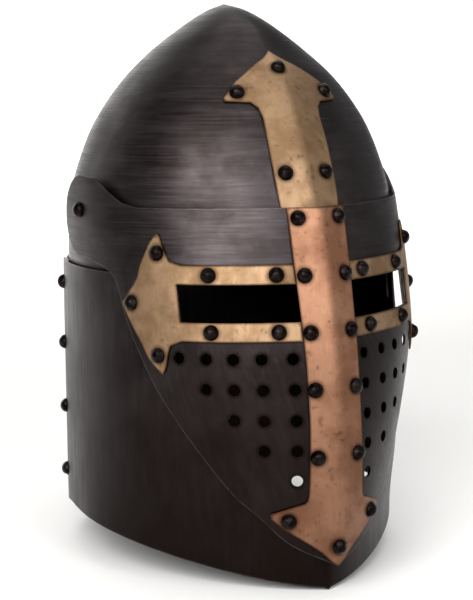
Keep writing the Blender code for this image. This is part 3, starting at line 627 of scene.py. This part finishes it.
def copperWidth(z):
    points = strip["copperWidths"]
    for (zHigh, high), (zLow, low) in zip(points, points[1:]):
        if z >= zLow:
            break
    return low + (high - low) * min(max((z - zLow) / (zHigh - zLow), 0.0), 1.0)


def onFrame(point, halfHeight):
    return (strip["frameInner"] + strip["frameReach"] * point[0],
            visor["slitMiddle"] + halfHeight * point[1])


trimTop = airGap + trimSheet
seats = {}   # node name: (matrix, height of the seat, depth of the tail, body)
barMiddle = (visor["slitHeight"] + strip["bar"]) / 2
stripSpots = [(strip["rivetOut"], visorHeight(up)) for up in rivets["strip"]]
stripSpots.append(onArrow(rivets["barb"], strip["visorArrow"]))
frameSpots = [onFrame(point, barMiddle) for point in rivets["bars"]]
frameSpots += [onFrame(point, strip["arrowHeight"] / 2) for point in rivets["arrow"]]
crownSpots = [(strip["rivetOut"], rivets["crownRise"]),
              onArrow(rivets["crownBarb"], strip["crownArrow"])]
for side, sideName in ((1, "left"), (-1, "right")):
    for kind, surface, body, spots in (
            ("strip_rivet", visorSurface, "face_guard", stripSpots),
            ("frame_rivet", visorSurface, "face_guard", frameSpots),
            ("crown_rivet", crownSurface, "skull", crownSpots)):
        for number, (x, z) in enumerate(spots, 1):
            seats[f"{kind}_{sideName}_{number}"] = (
                seatOn(surface, fromFront(surface, x, z), side), trimTop, -sheet, body)
    for number, share in enumerate(rivets["seam"], 1):
        spot = fromSide(lowerSurface, sideY + rivets["seamY"], skull["seam"] * share)
        seats[f"seam_rivet_{sideName}_{number}"] = (
            seatOn(lowerSurface, spot, side), frontLift + sheet,
            -sheet if number == 1 else 0.0, "skull")
    for number, degrees in enumerate(rivets["back"], 1):
        s = lengthAt(lowerSurface, skull["seam"] - skull["lap"] / 2)
        row = rowAt(lowerSurface, s)
        angle = math.atan2(row[1] * math.cos(math.radians(degrees)),
                           row[3] * math.sin(math.radians(degrees)))
        seats[f"back_rivet_{sideName}_{number}"] = (
            seatOn(lowerSurface, (1.0 + angle * 2 / math.pi, s), side), airGap + sheet,
            -sheet, "skull")
    low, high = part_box(f"pivot_rivet_{sideName}")
    outer = place(visorSurface, *fromSide(visorSurface, (low.y + high.y) / 2,
                                         (low.z + high.z) / 2))
    turn = Vector((side, 0, 0)).to_track_quat("Z", "Y").to_matrix().to_4x4()
    seats[f"pivot_rivet_{sideName}"] = (
        Matrix.Translation((outer.x * side, (low.y + high.y) / 2, (low.z + high.z) / 2)) @ turn,
        rivets["pivotSeat"], rivets["pivotTail"], "skull")
for name, surface, arrow, body in (
        ("strip_rivet_tip", visorSurface, "visorArrow", "face_guard"),
        ("crown_rivet_tip", crownSurface, "crownArrow", "skull")):
    key = "tip" if body == "face_guard" else "crownTip"
    spot = fromFront(surface, *onArrow(rivets[key], strip[arrow]))
    seats[name] = (seatOn(surface, spot), trimTop, -sheet - 0.001, body)


def rivetPoints(body):
    return [Vector((abs(m.translation.x), m.translation.y, m.translation.z))
            for m, _, _, rides in seats.values() if rides == body]


skullRivets, faceRivets = rivetPoints("skull"), rivetPoints("face_guard")
nowhere = [Vector((9, 9, 9))]   # for plates with no trim on them

# crown: everything above the lower plates' seam and their lap, open over the face
opening = sideLine(crownSurface, [p for p in openingLine if visorHeight(p[1]) > crownFoot],
                   skull["front"])
crownTopLength = crownSurface["lengths"][-1]
openingTop = fromFront(crownSurface, 0.0, visorHeight(skull["opening"][-1][1]))
footAt = fromSide(crownSurface, place(crownSurface, *opening[0]).y, crownFoot)
crownOutline = ([openingTop, (0.0, crownTopLength), (2.0, crownTopLength),
                 (2.0, footAt[1]), footAt] + opening)


def crownStripLoop():
    line = [onArrow(p, strip["crownArrow"]) for p in strip["crownPoints"]]
    outline = [(0.0, strip["crownFoot"]), (strip["halfWidth"], strip["crownFoot"])]
    outline += line[:3] + smoothRun(line[3:5], 2) + smoothRun(line[5:], 4)
    return evenSteps([fromFront(crownSurface, x, z) for x, z in outline], 0.02)


crownStrip, stripRim = wrapSheet("brassCrownStrip", crownSurface, [crownStripLoop()], airGap,
                                 trimSheet, True, (0.02, 0.0022),
                                 marks={"rivetDistance": skullRivets})
settle(crownStrip, "skull", "brass_trim", brass, "crown_strip")
crown, crownRim = wrapSheet("steelCrown", crownSurface, [evenSteps(crownOutline, 0.02)], 0.0,
                            sheet, False, (0.018, 0.0026),
                            marks={"rivetDistance": skullRivets, "trimDistance": stripRim})
settle(crown, "skull", "blackened_steel", crownSteel, "crown")
print("crown made")

# lower plates: their rim lifts over the shoulders and drops to a point at the chin
plateTop = fromSide(lowerSurface, sideY, skull["seam"])[1]


def rimLine(first, last, steps):
    ys = [first + (last - first) * k / steps for k in range(steps + 1)]
    return [fromSide(lowerSurface, sideY + y, rimHeight(y)) for y in ys]


plateOpening = sideLine(lowerSurface,
                        [p for p in openingLine if visorHeight(p[1]) < skull["seam"]],
                        skull["front"])
plateOpening.append((plateOpening[-1][0], plateTop))
chinTop = (0.0, fromFront(lowerSurface, 0.0, visorHeight(skull["opening"][0][1]))[1])
frontOutline = [chinTop, (0.0, lengthAt(lowerSurface, 0.0))]
frontOutline += rimLine(chinFront + 0.0005, skull["frontPlateEnd"], 60)
frontOutline += [fromSide(lowerSurface, sideY + skull["frontPlateEnd"], z / 1000)
                 for z in range(40, 195, 12)]
frontOutline += [(fromSide(lowerSurface, sideY + skull["frontPlateEnd"], skull["seam"])[0],
                  plateTop)] + plateOpening[::-1]
backOutline = [fromSide(lowerSurface, sideY + skull["backPlateStart"], z / 1000)
               for z in range(190, 34, -12)]
backOutline += rimLine(skull["backPlateStart"], skull["rimFlat"], 30)
backOutline += [(2.0, lengthAt(lowerSurface, 0.0)), (2.0, plateTop),
                (fromSide(lowerSurface, sideY + skull["backPlateStart"], skull["seam"])[0],
                 plateTop)]
plateMarks = {"rivetDistance": skullRivets, "trimDistance": nowhere}
frontPlate, _ = wrapSheet("steelFrontPlate", lowerSurface, [evenSteps(frontOutline, 0.02)],
                          frontLift, sheet, True, (0.018, 0.0026), marks=plateMarks)
settle(frontPlate, "skull", "blackened_steel", plateSteel, "front_plate")
backPlate, _ = wrapSheet("steelBackPlate", lowerSurface, [evenSteps(backOutline, 0.02)],
                         airGap, sheet, True, (0.018, 0.0026), marks=plateMarks)
settle(backPlate, "skull", "blackened_steel", plateSteel, "back_plate")
print("lower plates made")


def visorStripLoop():
    line = [onArrow(p, strip["visorArrow"]) for p in strip["visorPoints"]]
    outline = [(0.0, strip["visorFoot"])]
    outline += smoothRun([(width, z) for z, width in strip["copperWidths"]], 4)[:-1]
    outline += smoothRun([(copperWidth(0) + out, z) for out, z in strip["fillet"]]
                         + line[1:3], 3) + smoothRun(line[3:], 4)
    return evenSteps([fromFront(visorSurface, x, z) for x, z in outline], 0.02)


def frameLoop():
    half = visor["slitHeight"] / 2
    middle, end = visor["slitMiddle"], visor["slitEnd"]
    bar = half + strip["bar"]
    line = [onFrame(p, strip["arrowHeight"] / 2) for p in strip["framePoints"]]
    outline = [(copperWidth(middle + bar) + airGap, middle + bar),
               (line[0][0] - strip["shoulder"], middle + bar)]
    outline += smoothRun(line[:4], 3)[:-1] + smoothRun(line[3:10], 3)[:-1]
    outline += smoothRun(line[9:14], 3)[:-1] + smoothRun(line[13:], 3)
    outline += [(line[-1][0] - strip["shoulder"], middle - bar)]
    outline += [(copperWidth(middle + up) + airGap, middle + up) for up in (-bar, -half)]
    outline += [(end, middle - half), (end, middle + half),
                (copperWidth(middle + half) + airGap, middle + half)]
    return evenSteps([fromFront(visorSurface, x, z) for x, z in outline], 0.02)


def holeLoop(x, z):
    # a round hole on the curved sheet, unrolled onto the flat pattern
    t, s = fromFront(visorSurface, x, z)
    across = (place(visorSurface, t + 0.004, s) - place(visorSurface, t - 0.004, s)) / 0.008
    up = (place(visorSurface, t, s + 0.001) - place(visorSurface, t, s - 0.001)) / 0.002
    along = across.normalized()
    lean = up.dot(along)
    rise = (up - along * lean).length
    loop = []
    for k in range(24):
        angle = math.tau * k / 24
        ds = visor["holeRadius"] * math.sin(angle) / rise
        dt = (visor["holeRadius"] * math.cos(angle) - ds * lean) / across.length
        loop.append((t + dt, s + ds))
    return loop


def visorOutline():
    top, tip, front = visor["top"], visor["tip"], visor["front"]
    ear = []
    for k in range(41):
        angle = math.radians(100 - 202 * k / 40)
        ear.append((sideY + visor["earY"] + visor["earRadius"] * math.cos(angle),
                    visor["earZ"] + visor["earRadius"] * math.sin(angle)))
    brow, jaw = [[(sideY - front * ahead, visorHeight(up)) for ahead, up in visor[part]]
                 for part in ("brow", "jaw")]
    line = [(brow[0][0], top)] + smoothRun(brow[1:], 4) + ear + smoothRun(jaw, 5)
    outline = [(0.0, lengthAt(visorSurface, top))]
    outline += [fromSide(visorSurface, y, z) for y, z in line]
    return outline + [(0.0, lengthAt(visorSurface, tip))]


visorStrip, copperRim = wrapSheet("copperVisorStrip", visorSurface, [visorStripLoop()],
                                  airGap, trimSheet, True, (0.02, 0.0022),
                                  marks={"rivetDistance": faceRivets})
settle(visorStrip, "face_guard", "copper_trim", copper, "visor_strip")
frameRim = []
for side, sideName in ((1, "left"), (-1, "right")):
    sightFrame, rim = wrapSheet(f"brassSightFrame_{sideName}", visorSurface, [frameLoop()],
                                airGap, trimSheet, True, (0.014, 0.0018), both=False,
                                marks={"rivetDistance": faceRivets})
    if side < 0:
        bm = bmesh.new()
        bm.from_mesh(sightFrame.data)
        bmesh.ops.scale(bm, vec=(-1, 1, 1), verts=bm.verts)
        bmesh.ops.reverse_faces(bm, faces=bm.faces)
        bm.to_mesh(sightFrame.data)
        bm.free()
    frameRim += rim
    settle(sightFrame, "face_guard", "brass_trim", brass, f"sight_frame_{sideName}")

loops = [evenSteps(visorOutline(), 0.02)]
loops.append(evenSteps([fromFront(visorSurface, x, z) for x, z in (
    (visor["slitInner"], visor["slitMiddle"] - visor["slitHeight"] / 2),
    (visor["slitEnd"], visor["slitMiddle"] - visor["slitHeight"] / 2),
    (visor["slitEnd"], visor["slitMiddle"] + visor["slitHeight"] / 2),
    (visor["slitInner"], visor["slitMiddle"] + visor["slitHeight"] / 2))], 0.02))
holeSpots = [(visor["holeFirst"] + visor["holeColumns"][column],
              visor["slitMiddle"] - visor["holeDrop"] - row * visor["holeStep"])
             for row in range(5) for column in range(5 - row)]
loops += [holeLoop(x, z) for x, z in holeSpots]
holeMiddles = [place(visorSurface, *fromFront(visorSurface, x, z)) for x, z in holeSpots]
visorPlate, _ = wrapSheet("steelVisor", visorSurface, loops, 0.0, sheet, False,
                          (0.016, 0.0022),
                          marks={"rivetDistance": faceRivets,
                                 "trimDistance": frameRim + copperRim,
                                 "holeDistance": holeMiddles})
settle(visorPlate, "face_guard", "blackened_steel", visorSteel, "visor")
print("visor made")


def addRivet(name, matrix, seat, tail, body):
    # a domed head spun from its section, with the marks of a few hammer blows
    size = rivets
    bm = bmesh.new()
    section = [(size["radius"] * math.cos(a), seat + size["dome"] * math.sin(a))
               for a in [math.radians(d) for d in (90, 78, 66, 54, 42, 30, 18, 8, 0)]]
    section[0] = (0.0, seat + size["dome"])
    section += [(size["radius"] - 0.0002, seat - 0.0002), (size["shank"], seat - 0.0002),
                (size["shank"], tail), (size["tail"], tail - 0.0001),
                (size["tail"] * 0.7, tail - size["peen"] * 0.8), (0.0, tail - size["peen"])]
    verts = [bm.verts.new((x, 0.0, z)) for x, z in section]
    edges = [bm.edges.new(pair) for pair in zip(verts, verts[1:])]
    bmesh.ops.spin(bm, geom=verts + edges, cent=(0, 0, 0), axis=(0, 0, 1), angle=math.tau,
                   steps=28, use_merge=True)
    bmesh.ops.remove_doubles(bm, verts=bm.verts, dist=1e-6)
    bmesh.ops.recalc_face_normals(bm, faces=bm.faces)
    seed = sum(ord(letter) for letter in name)
    for v in bm.verts:
        if v.co.z > seat + 0.0008:
            for blow in range(4):
                angle = seed * 1.7 + blow * 1.9
                toward = Vector((math.cos(angle), math.sin(angle), 0.9 + 0.5 * math.sin(
                    seed + blow))).normalized()
                over = (v.co - Vector((0, 0, seat))).dot(toward) - size["dome"] * 0.97
                if over > 0:
                    v.co -= toward * over * 0.75
    bmesh.ops.transform(bm, matrix=matrix, verts=bm.verts)
    for face in bm.faces:
        face.smooth = True
    piece = addPiece(f"iron_{name}", bm)
    piece.data.set_sharp_from_angle(angle=math.radians(55))
    settle(piece, body, "rivet_steel", iron, name)


for name, (matrix, seat, tail, body) in seats.items():
    addRivet(name, matrix, seat, tail, body)
print("rivets made:", len(seats))


studio = {
    "floor": "#f4f3f1", "sky": 0.27, "lamps": (
        # place, aim, size, power
        ((-1.50, -1.60, 1.45), (0.0, 0.0, 0.2), (1.8, 1.7), 82.0),
        ((0.30, -2.30, 1.30), (0.0, 0.0, 0.2), (1.4, 1.4), 22.0),
        ((-1.5, 1.7, 0.9), (0.0, 0.0, 0.2), (1.2, 1.4), 2.0),
        ((0.3, 0.2, 2.8), (0.0, 0.0, 0.0), (2.4, 2.4), 28.0),
        ((0.6, 2.0, 2.4), (1.0, 5.0, 0.6), (2.5, 1.0), 145.0),
        ((2.2, -1.2, 0.8), (0.0, 0.0, 0.15), (0.8, 1.2), 3.0),
    ),
}
bm = bmesh.new()
bmesh.ops.create_grid(bm, x_segments=2, y_segments=2, size=5.0)
back = [e for e in bm.edges if min(v.co.y for v in e.verts) > 4.9]
lifted = bmesh.ops.extrude_edge_only(bm, edges=back)["geom"]
bmesh.ops.translate(bm, vec=(0, 0, 6), verts=[g for g in lifted
                                              if isinstance(g, bmesh.types.BMVert)])
bmesh.ops.bevel(bm, geom=[e for e in bm.edges if min(v.co.y for v in e.verts) > 4.9
                          and max(v.co.z for v in e.verts) < 0.1],
                offset=2.5, offset_type="OFFSET", segments=24, profile=0.5, affect="EDGES",
                material=-1)
bmesh.ops.translate(bm, vec=(0, 0, -0.0004), verts=bm.verts)
for face in bm.faces:
    face.smooth = True
floor = addPiece("floor", bm)
paper = bpy.data.materials.new("matt studio paper")
paper.use_nodes = True
paper.node_tree.nodes["Principled BSDF"].inputs["Base Color"].default_value = linear(
    studio["floor"])
paper.node_tree.nodes["Principled BSDF"].inputs["Roughness"].default_value = 0.9
floor.data.materials.append(paper)

world = bpy.data.worlds.new("studio")
world.use_nodes = True
world.node_tree.nodes["Background"].inputs["Strength"].default_value = studio["sky"]
world.node_tree.nodes["Background"].inputs["Color"].default_value = (1, 1, 1, 1)
bpy.context.scene.world = world
for number, (at, aim, size, power) in enumerate(studio["lamps"]):
    data = bpy.data.lights.new(f"softbox{number}", "AREA")
    data.shape, data.size, data.size_y, data.energy = "RECTANGLE", size[0], size[1], power
    lamp = bpy.data.objects.new(f"softbox{number}", data)
    toward = Vector(aim) - Vector(at)
    lamp.matrix_world = (Matrix.Translation(at)
                         @ toward.to_track_quat("-Z", "Y").to_matrix().to_4x4())
    bpy.context.scene.collection.objects.link(lamp)

photo = {"at": (-0.45456, -0.93129, 0.31089), "yaw": 26.05, "pitch": 7.96, "roll": -0.90,
         "lens": 62.05, "sensor": 24.0}
yaw, pitch, roll = (math.radians(photo[k]) for k in ("yaw", "pitch", "roll"))
forward = Vector((math.sin(yaw) * math.cos(pitch), math.cos(yaw) * math.cos(pitch),
                  -math.sin(pitch)))
right = Vector((math.cos(yaw), -math.sin(yaw), 0.0))
up = right.cross(forward)
camX = math.cos(roll) * right + math.sin(roll) * up
camY = -math.sin(roll) * right + math.cos(roll) * up
camera = bpy.data.objects.new("camera", bpy.data.cameras.new("camera"))
camera.data.lens, camera.data.sensor_width = photo["lens"], photo["sensor"]
camera.matrix_world = (Matrix.Translation(photo["at"])
                       @ Matrix((camX, camY, -forward)).transposed().to_4x4())
bpy.context.scene.collection.objects.link(camera)
bpy.context.scene.camera = camera
bpy.context.scene.view_settings.view_transform = "Standard"
print("studio made")
